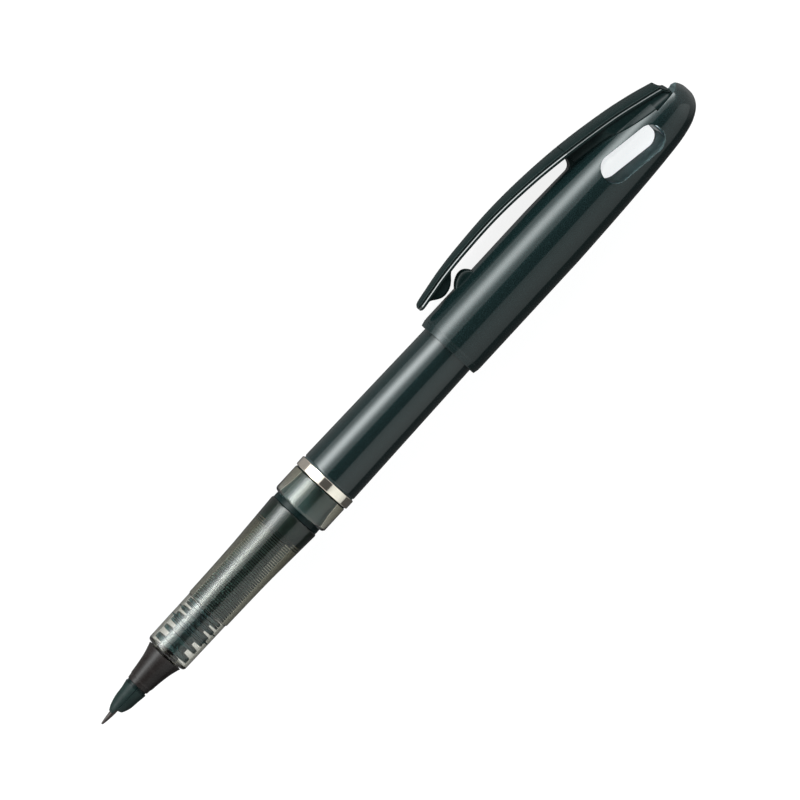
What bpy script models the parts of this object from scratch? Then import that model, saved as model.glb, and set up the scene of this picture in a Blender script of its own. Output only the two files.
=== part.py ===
"""A fountain-type drawing pen with a plastic nib, a see-through grip and its cap posted on the tail.

Everything is modelled in the pen's own frame and then laid down by one empty, pen_frame:
  +X runs from the nib to the capped end, on the pen's axis,
  +Y points from the axis towards the clip,
  +Z points sideways, across the clip.
Lengths below are millimetres. A station is a distance back from the nib's tip.
"""

import math

import bmesh
import bpy
from mathutils import Matrix, Vector

MM = 0.001

# ---- driving dimensions ----
LENGTH = 164.1  # posted, nib tip to cap end
GAP = 0.3  # between pieces that touch
FINE_GAP = 0.15  # between the small pieces round the nib
ROUND = 40  # sides of a large round piece
SMALL_ROUND = 24  # sides of a small one
REST_TILT = math.radians(18)  # how far the clip points below level when the pen lies down

GRIP_FRONT, GRIP_STEP, GRIP_END = 18.0, 29.7, 54.0
COMB_FRONT, COMB_END = 19.3, 48.6
SHELL_BORE = 3.95
COMB_RADIUS, CORE_RADIUS, CORE_BORE = 3.7, 2.1, 1.1
FIN_PITCH, FIN_THICK = 1.7, 0.8

FLANGE_FRONT, FLANGE_END, FLANGE_RADIUS = 54.3, 54.95, 5.35
COLLAR_FRONT, COLLAR_END, COLLAR_RADIUS = 55.25, 61.2, 6.2
RING_FRONT, RING_END, RING_RADIUS = 61.5, 63.5, 6.42
SPIGOT_RADIUS = 4.4

BARREL_FRONT, BARREL_END = 63.8, 130.5
BARREL_RADIUS, TAIL_RADIUS = 6.2, 5.35
THREAD_PITCH, THREAD_TURNS, THREAD_START = 1.5, 3, 65.6
THREAD_ROOT, THREAD_CREST = 4.45, 4.98
BARREL_BORE, BARREL_THREAD_CREST = 5.25, 4.68

RESERVOIR_FRONT, RESERVOIR_END, RESERVOIR_RADIUS = 72.5, 118.0, 4.1

CAP_MOUTH, CAP_END = 96.9, LENGTH
CAP_RADIUS, CAP_BORE = 6.97, 5.95
INNER_CAP_FRONT, INNER_CAP_END = 131.0, 155.2
SLOT_CENTRE, SLOT_HEIGHT, SLOT_TILT = 147.7, 0.3, math.radians(-8.6)
SLOT_LENGTH, SLOT_WIDTH = 14.4, 5.7

CLIP_TIP, CLIP_BEND, PLATE_END, CLIP_REAR = 98.7, 139.2, 160.4, 161.4
CLIP_EDGE = 1.2  # thickness of the clip plate at its edges
CROWN_SHARE = 0.22  # how much the plate's middle rises, as a share of its half width
BUMP_MIDDLE, BUMP_REACH, BUMP_DEPTH = 104.4, 3.6, 2.1
RECESS_FRONT, RECESS_FLOOR = 156.8, 2.3


# ---- small tools ----
def make_material(name, colour, roughness, metallic=0.0, clear=0.0):
    material = bpy.data.materials.new(name)
    material.use_nodes = True
    shader = material.node_tree.nodes["Principled BSDF"]
    shader.inputs["Base Color"].default_value = (*colour, 1.0)
    shader.inputs["Roughness"].default_value = roughness
    shader.inputs["Metallic"].default_value = metallic
    shader.inputs["Transmission Weight"].default_value = clear
    return material


def place(station, height=0.0, side=0.0):
    """A point of the pen's own frame, in metres, with the origin halfway along the pen."""
    return Vector(((station - LENGTH / 2) * MM, height * MM, side * MM))


def add_object(name, bm, material):
    bmesh.ops.recalc_face_normals(bm, faces=bm.faces)
    mesh = bpy.data.meshes.new(name)
    bm.to_mesh(mesh)
    bm.free()
    mesh.shade_smooth()
    mesh.set_sharp_from_angle(angle=math.radians(35))
    mesh.materials.append(material)
    thing = bpy.data.objects.new(name, mesh)
    bpy.context.collection.objects.link(thing)
    thing.parent = pen_frame
    return thing


def turned(name, outline, material, sides=ROUND, start=0.0, sweep=math.tau):
    """Turns an outline of (station, radius) points about the pen's axis, starting from +Y."""
    bm = bmesh.new()
    spoke = Vector((0, math.cos(start), math.sin(start)))
    points = [bm.verts.new(place(s) + spoke * r * MM) for s, r in outline]
    on_axis = outline[0][1] == 0 and outline[-1][1] == 0
    ends = points[1:] if on_axis else points[1:] + points[:1]
    edges = [bm.edges.new(pair) for pair in zip(points, ends)]
    whole = sweep == math.tau
    bmesh.ops.spin(
        bm,
        geom=points + edges,
        cent=(0, 0, 0),
        axis=(1, 0, 0),
        angle=sweep,
        steps=sides,
        use_merge=whole,
    )
    if not whole:
        bmesh.ops.holes_fill(bm, edges=[e for e in bm.edges if e.is_boundary])
    bmesh.ops.remove_doubles(bm, verts=bm.verts, dist=1e-7)
    return add_object(name, bm, material)


def lofted(name, rings, material):
    """A closed body through a row of rings, each with the same number of points."""
    bm = bmesh.new()
    rows = [[bm.verts.new(p) for p in ring] for ring in rings]
    for near, far in zip(rows, rows[1:]):
        for i in range(len(near)):
            j = (i + 1) % len(near)
            bm.faces.new((near[i], near[j], far[j], far[i]))
    bm.faces.new(rows[0])
    bm.faces.new(rows[-1])
    return add_object(name, bm, material)


def extruded(name, outline, half_width, material):
    """A plate whose (station, height) outline is drawn out to both sides of the middle."""
    sides = [[place(s, h, side) for s, h in outline] for side in (-half_width, half_width)]
    return lofted(name, sides, material)


def as_cutter(thing):
    thing.hide_render = True
    thing.display_type = "WIRE"
    return thing


def boolean(thing, other, operation):
    step = thing.modifiers.new(other.name, "BOOLEAN")
    step.operation = operation
    step.object = as_cutter(other)


def between(points, x):
    """The value at x of a smooth curve through (x, value) points, with flat-free cubic joins."""
    last = len(points) - 1
    x = min(max(x, points[0][0]), points[last][0])
    i = max(k for k in range(last) if points[k][0] <= x)

    def slope(k):
        low, high = points[max(k - 1, 0)], points[min(k + 1, last)]
        return (high[1] - low[1]) / (high[0] - low[0])

    (x0, y0), (x1, y1) = points[i], points[i + 1]
    span = x1 - x0
    t = (x - x0) / span
    rise = y0 * (1 - t) ** 2 * (1 + 2 * t) + y1 * t * t * (3 - 2 * t)
    return rise + span * t * (1 - t) * (slope(i) * (1 - t) - slope(i + 1) * t)


def stations(low, high, count):
    return [low + (high - low) * i / (count - 1) for i in range(count)]


def helix_ridge(name, base, crest, start, material):
    """One thread ridge, from radius base to crest, which fades in and out at its two ends."""
    steps = SMALL_ROUND * THREAD_TURNS
    outwards = math.copysign(1, crest - base)
    foot = base - outwards * 0.25
    rings = []
    for i in range(steps + 1):
        angle = math.tau * i / SMALL_ROUND
        fade = min(1, i / 6, (steps - i) / 6)
        top = base - outwards * 0.1 + (crest - base + outwards * 0.1) * fade
        middle = start + THREAD_PITCH * angle / math.tau
        spoke = Vector((0, math.cos(angle), math.sin(angle)))
        corners = ((-0.45, foot), (-0.12, top), (0.12, top), (0.45, foot))
        rings.append([place(middle + dx) + spoke * r * MM for dx, r in corners])
    return lofted(name, rings, material)


# ---- the scene and its materials ----
for thing in list(bpy.data.objects):
    bpy.data.objects.remove(thing, do_unlink=True)

pen_frame = bpy.data.objects.new("pen_frame", None)
bpy.context.collection.objects.link(pen_frame)

paint = make_material("pearl_grey_paint", (0.09, 0.12, 0.12), 0.35, 0.6)
black = make_material("black_plastic", (0.03, 0.035, 0.035), 0.35)
brown_black = make_material("warm_black_plastic", (0.045, 0.035, 0.03), 0.4)
comb_grey = make_material("comb_plastic", (0.05, 0.06, 0.055), 0.45)
nib_brown = make_material("nib_plastic", (0.08, 0.05, 0.04), 0.4)
smoke = make_material("smoke_clear_plastic", (0.6, 0.6, 0.52), 0.08, 0.0, 0.9)
clear = make_material("clear_plastic", (0.85, 0.9, 0.92), 0.05, 0.0, 0.95)
silver = make_material("champagne_metal", (0.8, 0.77, 0.7), 0.12, 1.0)
fibre = make_material("ink_fibre", (0.1, 0.1, 0.11), 0.9)


# ---- the nib and what holds it ----
def make_nib():
    outline = [(0, 0), (0.05, 0.1), (0.5, 0.22), (2.8, 0.52), (4.2, 0.55), (22.0, 0.55), (22.0, 0)]
    return turned("nib", outline, nib_brown, sides=16)


def jaw(name, top, start):
    """Half of the holder: a half-round body over the nib, with a tail in the cone."""
    channel = 0.55 + FINE_GAP
    tail_radius, tail_end = 1.75, 16.0
    outline = [(top[0][0], channel)] + top + [(9.7, tail_radius), (tail_end, tail_radius)]
    outline.append((tail_end, channel))
    split = math.radians(4)
    return turned(name, outline, comb_grey, 14, start + split, math.pi - 2 * split)


def make_jaws():
    """+Y is the clip's side, and its jaw reaches a little further forward."""
    upper = [(2.9, 0.78), (3.9, 1.29), (5.8, 1.8), (7.7, 2.0), (9.55, 2.34), (9.6, 2.2)]
    lower = [(3.95, 0.8), (4.25, 1.35), (5.8, 2.0), (7.7, 2.25), (9.55, 2.5), (9.6, 2.35)]
    jaw("nib_jaw_upper", upper, -math.pi / 2)
    jaw("nib_jaw_lower", lower, math.pi / 2)


def make_front_cone():
    outside = [(10.0, 2.3), (10.1, 2.42), (10.9, 2.48), (11.2, 2.62), (13.2, 2.85), (15.3, 3.2)]
    outside += [(17.2, 3.72), (17.7, 3.9)]
    tail = [(17.7, 2.4), (19.0, 2.4), (19.0, 1.4)]
    bore = [(16.3, 1.4), (16.3, 1.9), (10.0, 1.9)]
    return turned("front_cone", outside + tail + bore, brown_black, sides=32)


# ---- the see-through grip and the collector in it ----
def make_grip_shell():
    outside = [(GRIP_FRONT, 4.05), (18.12, 4.35), (18.5, 4.58), (GRIP_STEP, 4.64)]
    outside += [(GRIP_STEP + 0.15, 4.82), (36.2, 4.9), (41.9, 5.03), (45.7, 5.2), (49.5, 5.37)]
    outside += [(GRIP_END - 0.25, 5.58), (GRIP_END, 5.45)]
    bore = [(GRIP_END, SHELL_BORE), (18.7, SHELL_BORE), (18.7, 2.7), (GRIP_FRONT, 2.7)]
    return turned("grip_shell", outside + bore, smoke)


def disc_stack(name, front, end, discs, material):
    """A bored core with discs on it, given as (front, back) stations."""
    outline = [(front, CORE_BORE)]
    for low, high in discs:
        outline += [(low, CORE_RADIUS), (low, COMB_RADIUS), (high, COMB_RADIUS), (high, CORE_RADIUS)]
    outline += [(end, CORE_RADIUS), (end, CORE_BORE)]
    return turned(name, outline, material, sides=18)


def make_collector():
    """Wide buffer discs in front, then the fine comb, then a plain base."""
    split = 29.6
    wide = [(COMB_FRONT, 20.4), (21.75, 22.5), (23.65, 25.75), (26.5, 27.3), (28.0, 29.2)]
    disc_stack("buffer_discs", COMB_FRONT, split, wide, comb_grey)
    count = int((COMB_END - split) / FIN_PITCH)
    first = split + GAP
    fins = [(first + i * FIN_PITCH, first + i * FIN_PITCH + FIN_THICK) for i in range(count)]
    disc_stack("fin_comb", first, COMB_END, fins, comb_grey)
    base = [(COMB_END + GAP, CORE_BORE), (COMB_END + GAP, 3.75), (GRIP_END, 3.75)]
    base.append((GRIP_END, CORE_BORE))
    turned("collector_base", base, comb_grey, SMALL_ROUND)


def make_feed_rod():
    outline = [(22.3, 0), (22.3, 0.8), (76.0, 0.8), (76.0, 0)]
    return turned("feed_rod", outline, fibre, sides=12)


# ---- the joint between grip and barrel ----
def make_threaded_body():
    """Flange, spigot, thread root and the nipple that the reservoir pushes on to."""
    thread_end = 71.6
    outline = [(FLANGE_FRONT, CORE_BORE), (FLANGE_FRONT, FLANGE_RADIUS)]
    outline += [(FLANGE_END, FLANGE_RADIUS), (FLANGE_END, SPIGOT_RADIUS)]
    outline += [(64.6, SPIGOT_RADIUS), (64.8, THREAD_ROOT), (thread_end, THREAD_ROOT)]
    outline += [(thread_end, 2.2), (77.5, 2.0), (78.0, 1.7), (78.0, CORE_BORE)]
    body = turned("threaded_body", outline, black, SMALL_ROUND)
    ridge = helix_ridge("spigot_ridge", THREAD_ROOT, THREAD_CREST, THREAD_START, black)
    boolean(body, ridge, "UNION")
    return body


def make_collar():
    outline = [(COLLAR_FRONT, 5.55), (COLLAR_FRONT + 0.12, 5.9), (COLLAR_FRONT + 0.5, COLLAR_RADIUS)]
    outline += [(COLLAR_END, COLLAR_RADIUS), (COLLAR_END, 4.7), (COLLAR_FRONT, 4.7)]
    return turned("ink_collar", outline, smoke)


def make_trim_ring():
    outline = [(RING_FRONT, 6.2), (RING_FRONT + 0.3, RING_RADIUS), (RING_END - 0.3, RING_RADIUS)]
    outline += [(RING_END, 6.2), (RING_END, 4.75), (RING_FRONT, 4.75)]
    return turned("trim_ring", outline, silver)


# ---- the barrel and the ink in it ----
def make_barrel():
    thread_zone_end, bore_tail = 73.5, 4.5
    outline = [(BARREL_FRONT, 6.05), (BARREL_FRONT + 0.2, BARREL_RADIUS)]
    outline += [(BARREL_END - 0.6, TAIL_RADIUS), (BARREL_END - 0.3, 5.15), (BARREL_END - 0.3, bore_tail)]
    outline += [(thread_zone_end, 4.95), (thread_zone_end - 0.3, BARREL_BORE), (BARREL_FRONT, BARREL_BORE)]
    barrel = turned("barrel", outline, paint)
    start = THREAD_START + THREAD_PITCH / 2
    ridge = helix_ridge("barrel_ridge", BARREL_BORE, BARREL_THREAD_CREST, start, paint)
    boolean(barrel, ridge, "UNION")
    return barrel


def make_tail_plug():
    skirt, hollow = 4.2, 3.3
    outline = [(129.0, 0), (129.0, hollow), (126.5, hollow), (126.5, skirt), (BARREL_END, skirt)]
    outline += [(BARREL_END, 5.1), (BARREL_END + 0.15, 5.0), (BARREL_END + 0.3, 0)]
    return turned("tail_plug", outline, black, SMALL_ROUND)


def make_reservoir():
    wall, neck = 0.6, 2.5
    front, end, radius = RESERVOIR_FRONT, RESERVOIR_END, RESERVOIR_RADIUS
    outline = [(front, neck), (front, radius - 0.5), (front + 0.6, radius), (end, radius)]
    outline += [(end, radius - wall), (front + 1.4, radius - wall), (front + 1.0, neck)]
    turned("ink_reservoir", outline, clear, SMALL_ROUND)
    plug = [(114.5, 0), (114.5, radius - wall - GAP), (end + GAP, radius - wall - GAP)]
    plug += [(end + GAP, radius), (end + 1.8, radius - 0.2), (end + 1.8, 0)]
    turned("reservoir_plug", plug, black, SMALL_ROUND)


# ---- the cap ----
def cap_outside():
    """The (station, radius) points of the cap's outer side, from its mouth to its end."""
    points = [(CAP_MOUTH, 6.7), (CAP_MOUTH + 1.3, CAP_RADIUS), (125.5, CAP_RADIUS)]
    points += [(131.2, 6.86), (136.9, 6.71), (142.6, 6.52), (148.3, 6.28), (152.1, 6.05)]
    points += [(155.9, 5.74), (157.8, 5.45), (159.7, 5.03), (161.2, 4.45), (162.4, 3.75)]
    points += [(163.3, 2.9), (163.85, 2.0), (CAP_END, 1.3)]
    return points


def make_cap_shell():
    bore = [(156.3, 0), (156.3, 4.6), (155.6, 4.95), (143.0, 5.67), (130.0, 5.9), (CAP_MOUTH, CAP_BORE)]
    outline = bore + cap_outside() + [(CAP_END, 0)]
    shell = turned("cap_shell", outline, paint)
    boolean(shell, make_slot_cutter(), "DIFFERENCE")
    recess = [(RECESS_FRONT, RECESS_FLOOR), (162.3, RECESS_FLOOR), (162.7, 2.6)]
    recess += [(CAP_END + 1, 2.6), (CAP_END + 1, 9.0), (RECESS_FRONT, 9.0)]
    boolean(shell, extruded("recess_cutter", recess, 8.0, paint), "DIFFERENCE")
    boolean(shell, make_cap_nub(), "UNION")
    return shell


def make_slot_cutter():
    """An obround that runs right through the cap from side to side, tilted in the clip's plane."""
    half, radius = (SLOT_LENGTH - SLOT_WIDTH) / 2, SLOT_WIDTH / 2
    outline = []
    for centre, first in ((half, -math.pi / 2), (-half, math.pi / 2)):
        for i in range(13):
            angle = first + math.pi * i / 12
            along, across = centre + radius * math.cos(angle), radius * math.sin(angle)
            s = SLOT_CENTRE + along * math.cos(SLOT_TILT) - across * math.sin(SLOT_TILT)
            h = SLOT_HEIGHT + along * math.sin(SLOT_TILT) + across * math.cos(SLOT_TILT)
            outline.append((s, h))
    return extruded("slot_cutter", outline, 9.0, paint)


def make_cap_nub():
    """The low bump that the clip's own bump pinches cloth against."""
    hump = [(106.3, 6.6), (107.4, 7.35), (108.3, 7.95), (109.2, 8.2), (110.0, 7.95), (110.8, 7.35)]
    hump.append((111.9, 6.6))
    return extruded("cap_nub", hump, 1.1, paint)


def make_inner_cap():
    wall_end = 153.3
    front, end = INNER_CAP_FRONT, INNER_CAP_END
    outside = [(front, 5.25), (front + 0.3, 5.4), (143.0, 5.32), (end - 0.5, 4.6), (end, 4.2)]
    bore = [(wall_end, 3.7), (wall_end - 0.5, 3.95), (143.0, 4.72), (front + 0.4, 4.78), (front, 4.95)]
    outline = [(wall_end, 0)] + bore + outside + [(end, 0)]
    return turned("inner_cap", outline, clear)


# ---- the clip ----
EDGE_HEIGHT = [(98.7, 9.95), (102.7, 10.54), (106.5, 11.07), (112.2, 11.5), (121.7, 11.69)]
EDGE_HEIGHT += [(131.2, 11.08), (140.7, 9.79), (150.2, 7.95), (155.9, 6.44), (160.6, 5.0)]
HALF_WIDTH = [(98.7, 1.75), (106.5, 2.15), (121.7, 2.85), (131.2, 3.45), (140.7, 4.15)]
HALF_WIDTH += [(150.2, 4.25), (156.0, 4.3), (160.6, 3.9)]
FOOT_ANGLE = [(138.6, 14), (142.6, 22), (146.4, 31), (150.2, 46), (154.0, 56), (156.9, 61), (161.4, 63)]


def plate_top(half, edge):
    """Half widths and heights across the plate's crowned top, from one side to the other."""
    rise = CROWN_SHARE * half
    across = [-1, -0.94, -0.75, -0.4, 0, 0.4, 0.75, 0.94, 1]
    rim = 0.18
    points = [(half * t, edge + rise * (1 - t * t)) for t in across[1:-1]]
    return [(-half, edge - rim)] + points + [(half, edge - rim)]


def clip_tip_share(s):
    """How much of its full half width the plate has near its rounded tip."""
    reach = 1.5
    t = min((s - CLIP_TIP) / reach, 1)
    return max(math.sqrt(1 - (1 - t) ** 2), 0.35)


def make_clip_arm():
    """The springy plate, from its rounded tip to where it bends, with a bump under the tip."""
    rows = []
    tip = [CLIP_TIP + back for back in (0, 0.15, 0.45, 0.9)]
    bump = stations(BUMP_MIDDLE - BUMP_REACH, BUMP_MIDDLE + BUMP_REACH, 9)
    blade = stations(BUMP_MIDDLE + BUMP_REACH + 2, CLIP_BEND - GAP / 2, 13)
    for s in tip + bump + blade:
        half = between(HALF_WIDTH, s) * clip_tip_share(s)
        edge = between(EDGE_HEIGHT, s)
        round_off = 0.3 * (1 - min((s - CLIP_TIP) / 0.5, 1))
        top = [(z, h - round_off) for z, h in plate_top(half, edge)]
        under = edge - CLIP_EDGE - bump_depth(s) + round_off
        shape = top + [(half, under + 0.15), (half - 0.15, under), (0.15 - half, under)]
        shape.append((-half, under + 0.15))
        rows.append([place(s, h, z) for z, h in shape])
    return lofted("clip_arm", rows, black)


def bump_depth(s):
    """How far the clip's own bump reaches below its plate."""
    t = min(abs(s - BUMP_MIDDLE) / BUMP_REACH, 1)
    return BUMP_DEPTH * (0.5 + 0.5 * math.cos(math.pi * t))


def cap_radius(s):
    outside = cap_outside()
    for (x0, r0), (x1, r1) in zip(outside, outside[1:]):
        if x0 <= s <= x1:
            return r0 + (r1 - r0) * (s - x0) / (x1 - x0)
    return outside[-1][1]


def make_clip_root():
    """The plate's wide end, on a web whose hollow flanks run out on the cap's surface."""
    rows = []
    seat_front = RECESS_FRONT + GAP
    marks = [(s, False) for s in stations(CLIP_BEND + GAP / 2, seat_front, 12)]
    marks += [(s, True) for s in stations(seat_front + 0.05, CLIP_REAR, 6)]
    for s, seated in marks:
        half = between(HALF_WIDTH, s)
        edge = between(EDGE_HEIGHT, s)
        fall = max(0, (s - PLATE_END) / (CLIP_REAR - PLATE_END))
        sink = (edge - RECESS_FLOOR - 1.0) * (1 - (1 - fall) ** 1.8)
        top = [(z, h - sink) for z, h in plate_top(half, edge)]
        lowest = top[0][1] - min(CLIP_EDGE, 0.25 * edge) * (1 - 0.7 * fall)
        rows.append(web_ring(s, half, top, lowest, seated))
    return lofted("clip_root", rows, black)


def web_ring(s, half, top, lowest, seated):
    """One cross-section of the root: plate, hollow flank, foot and underside, all the way round."""
    radius = cap_radius(s) + GAP
    angle = math.radians(between(FOOT_ANGLE, s))
    foot_side, foot_height = radius * math.sin(angle), radius * math.cos(angle)
    if seated:
        foot_height = max(foot_height, RECESS_FLOOR + GAP)
        foot_side = math.sqrt(max(cap_radius(s) ** 2 - foot_height**2, 1.0))
    waist = min(half - 0.3, foot_side + 0.2)
    lip = 0.25
    flank = [(half, lowest), (waist, lowest - 0.05)]
    for t in (0.35, 0.7, 0.92):
        side = waist + (foot_side - waist) * t**2
        height = lowest - 0.05 + (foot_height + lip - lowest + 0.05) * (1 - (1 - t) ** 1.5)
        keep_out = math.sqrt(max((radius + 0.12) ** 2 - side**2, 0.0))
        flank.append((side, max(height, keep_out) if not seated else height))
    flank.append((foot_side + 0.02, foot_height + lip))
    under = []
    for t in (1, 0.66, 0.33, 0):
        if seated:
            under.append((foot_side * t, RECESS_FLOOR + GAP))
        else:
            under.append((radius * math.sin(angle * t), radius * math.cos(angle * t)))
    right = flank + under
    left = [(-z, h) for z, h in reversed(right[:-1])]
    return [place(s, h, z) for z, h in top + right + left]


# ---- making and laying down ----
make_nib()
make_jaws()
make_front_cone()
make_grip_shell()
make_collector()
make_feed_rod()
make_threaded_body()
make_collar()
make_trim_ring()
make_barrel()
make_tail_plug()
make_reservoir()
make_cap_shell()
make_inner_cap()
arm = make_clip_arm()
make_clip_root()

pen_frame.rotation_euler = (-REST_TILT, 0, 0)
tilt = Matrix.Rotation(-REST_TILT, 3, "X")
clip_reach = max((tilt @ v.co).y for v in arm.data.vertices)
pen_frame.location = (0, (CAP_RADIUS * MM - clip_reach) / 2, CAP_RADIUS * MM)
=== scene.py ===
"""Looks for the drawing pen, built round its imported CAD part.

Stations, heights and sides are millimetres in the pen's own frame, as in the part's source: a station is a
distance back from the nib's tip, a height points from the pen's axis towards the clip, a side across it.
"""

import math

import bmesh
import bpy
from mathutils import Matrix, Vector


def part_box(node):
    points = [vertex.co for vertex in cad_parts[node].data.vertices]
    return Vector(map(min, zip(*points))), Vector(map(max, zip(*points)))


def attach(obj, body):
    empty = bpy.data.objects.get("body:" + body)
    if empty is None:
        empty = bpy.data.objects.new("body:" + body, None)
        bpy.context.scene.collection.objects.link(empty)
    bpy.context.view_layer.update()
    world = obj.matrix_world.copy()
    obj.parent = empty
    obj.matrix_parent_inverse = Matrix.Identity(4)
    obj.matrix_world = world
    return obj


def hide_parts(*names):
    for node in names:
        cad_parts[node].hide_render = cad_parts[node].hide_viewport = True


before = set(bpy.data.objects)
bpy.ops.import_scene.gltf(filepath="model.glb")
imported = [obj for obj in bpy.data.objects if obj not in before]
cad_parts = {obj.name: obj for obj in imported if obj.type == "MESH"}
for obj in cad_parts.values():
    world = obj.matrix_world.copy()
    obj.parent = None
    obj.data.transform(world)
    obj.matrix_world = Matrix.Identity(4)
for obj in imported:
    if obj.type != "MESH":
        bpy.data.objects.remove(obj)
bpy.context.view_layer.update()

MM = 0.001
REST_TILT = math.radians(18)
barrel_low, barrel_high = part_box("barrel")
AXIS = (barrel_low + barrel_high) / 2
MIDDLE_X = (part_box("nib")[0].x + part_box("cap_shell")[1].x) / 2
LENGTH = (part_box("cap_shell")[1].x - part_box("nib")[0].x) / MM
PEN = Matrix.Translation((MIDDLE_X, AXIS.y, AXIS.z)) @ Matrix.Rotation(-REST_TILT, 4, "X")

FINE, MEDIUM, COARSE = 160, 96, 48  # sides of round pieces
ROOT_CLEARANCE = 0.075  # between the clip's flanks and the cap


# ---- outlines ----
def softened(points, closed, reach):
    """The outline with each corner turned into a small curve, and held flat beside it."""
    made = []
    last = len(points) - 1
    for i, point in enumerate(points):
        here = Vector(point)
        if not closed and i in (0, last):
            made.append(here)
            continue
        before = Vector(points[i - 1]) - here
        after = Vector(points[(i + 1) % len(points)]) - here
        if math.pi - before.angle(after) < math.radians(18):
            made.append(here)
            continue
        cut = min(reach, before.length * 0.35, after.length * 0.35)
        start = here + before.normalized() * cut
        end = here + after.normalized() * cut
        if before.length > 4 * cut:
            made.append(start + before.normalized() * cut * 0.6)
        for k in range(5):
            t = k / 4
            made.append(start * (1 - t) ** 2 + here * 2 * t * (1 - t) + end * t * t)
        if after.length > 4 * cut:
            made.append(end + after.normalized() * cut * 0.6)
    return made


def flowing(points, steps=5, limit=None):
    """A smooth curve through the points, never wider than the limit."""
    made = []
    for i in range(len(points) - 1):
        p1, p2 = Vector(points[i]), Vector(points[i + 1])
        p0 = Vector(points[i - 1]) if i > 0 else 2 * p1 - p2
        p3 = Vector(points[i + 2]) if i + 2 < len(points) else 2 * p2 - p1
        span = (p2 - p1).length
        m1 = (p2 - p0) * (span / (p2 - p0).length)
        m2 = (p3 - p1) * (span / (p3 - p1).length)
        for k in range(steps):
            t = k / steps
            made.append(
                p1 * (1 + 2 * t) * (1 - t) ** 2
                + m1 * t * (1 - t) ** 2
                + p2 * t * t * (3 - 2 * t)
                - m2 * t * t * (1 - t)
            )
    made.append(Vector(points[-1]))
    if limit is not None:
        made = [Vector((s, min(r, limit))) for s, r in made]
    return made


def between(points, x):
    """The value at x of a smooth curve through (x, value) points."""
    last = len(points) - 1
    x = min(max(x, points[0][0]), points[last][0])
    i = max(k for k in range(last) if points[k][0] <= x)

    def slope(k):
        low, high = points[max(k - 1, 0)], points[min(k + 1, last)]
        return (high[1] - low[1]) / (high[0] - low[0])

    (x0, y0), (x1, y1) = points[i], points[i + 1]
    span = x1 - x0
    t = (x - x0) / span
    rise = y0 * (1 - t) ** 2 * (1 + 2 * t) + y1 * t * t * (3 - 2 * t)
    return rise + span * t * (1 - t) * (slope(i) * (1 - t) - slope(i + 1) * t)


def stations(low, high, count):
    """That many evenly spaced values from low to high."""
    return [low + (high - low) * i / (count - 1) for i in range(count)]


# ---- pieces ----
def place(station, height=0.0, side=0.0):
    """The scene position of a point in the pen's own frame."""
    return PEN @ Vector(((station - LENGTH / 2) * MM, height * MM, side * MM))


def add_piece(name, bm, materials, body, stands_for=(), sharp=40):
    """Makes the object with its materials, and ties it to its body and the CAD pieces it stands for."""
    bmesh.ops.remove_doubles(bm, verts=bm.verts, dist=1e-8)
    bmesh.ops.recalc_face_normals(bm, faces=bm.faces)
    mesh = bpy.data.meshes.new(name)
    bm.to_mesh(mesh)
    bm.free()
    mesh.shade_smooth()
    mesh.set_sharp_from_angle(angle=math.radians(sharp))
    for material in materials if isinstance(materials, (list, tuple)) else (materials,):
        mesh.materials.append(material)
    thing = bpy.data.objects.new(name, mesh)
    bpy.context.scene.collection.objects.link(thing)
    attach(thing, body)
    if stands_for:
        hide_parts(*stands_for)
    return thing


def turned_mesh(outline, sides=FINE, closed=True, start=0.0, sweep=math.tau, index_of=None):
    """Turns an outline of (station, radius) points about the axis. An open outline ends on the axis."""
    bm = bmesh.new()
    whole = sweep == math.tau
    count = sides if whole else sides + 1
    rows = []
    for s, r in outline:
        if r < 1e-9:
            rows.append([bm.verts.new(place(s))] * count)
            continue
        row = []
        for i in range(count):
            angle = start + sweep * i / sides
            row.append(bm.verts.new(place(s, r * math.cos(angle), r * math.sin(angle))))
        rows.append(row)
    pairs = list(zip(rows, rows[1:])) + ([(rows[-1], rows[0])] if closed else [])
    for index, (near, far) in enumerate(pairs):
        for i in range(sides):
            j = (i + 1) % count
            corners = [near[i], near[j], far[j], far[i]]
            corners = list(dict.fromkeys(corners))
            face = bm.faces.new(corners)
            if index_of is not None:
                face.material_index = index_of(index)
    if not whole:
        bm.faces.new([row[0] for row in rows])
        bm.faces.new([row[-1] for row in rows])
    return bm


def turned(name, outline, materials, body, stands_for=(), sides=FINE, soft=0.08, inner=None):
    """A turned piece. Its second material, if any, takes the faces whose outline point inner() picks."""
    closed = outline[0][1] > 0 or outline[-1][1] > 0
    line = softened(outline, closed, soft) if soft else [Vector(p) for p in outline]
    index_of = (lambda i: int(inner(*line[i]))) if inner else None
    bm = turned_mesh(line, sides, closed, index_of=index_of)
    return add_piece(name, bm, materials, body, stands_for)


def lofted_mesh(rings, strip=range(0)):
    """Skins the rings. Faces in the strip, and their mirror images, take the second material."""
    bm = bmesh.new()
    rows = [[bm.verts.new(p) for p in ring] for ring in rings]
    for near, far in zip(rows, rows[1:]):
        for i in range(len(near)):
            j = (i + 1) % len(near)
            face = bm.faces.new((near[i], near[j], far[j], far[i]))
            face.material_index = int(i in strip or len(near) - 1 - i in strip)
    bm.faces.new(rows[0])
    bm.faces.new(rows[-1])
    return bm


def helix_mesh(base, crest, start, pitch, turns, sides=72):
    """One rounded thread ridge from radius base to crest, fading in and out at its ends."""
    steps = sides * turns
    out = math.copysign(1, crest - base)
    foot = base - out * 0.2
    rings = []
    for i in range(steps + 1):
        angle = math.tau * i / sides
        fade = min(1, 4 * i / sides, 4 * (steps - i) / sides)
        top = base - out * 0.1 + (crest - base + out * 0.1) * fade
        middle = start + pitch * i / sides
        shape = [(-0.45, foot), (-0.3, base + (top - base) * 0.3), (-0.16, top - out * 0.04), (-0.08, top)]
        shape += [(-dx, r) for dx, r in reversed(shape)]
        rings.append([place(middle + dx, r * math.cos(angle), r * math.sin(angle)) for dx, r in shape])
    return lofted_mesh(rings)


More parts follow.
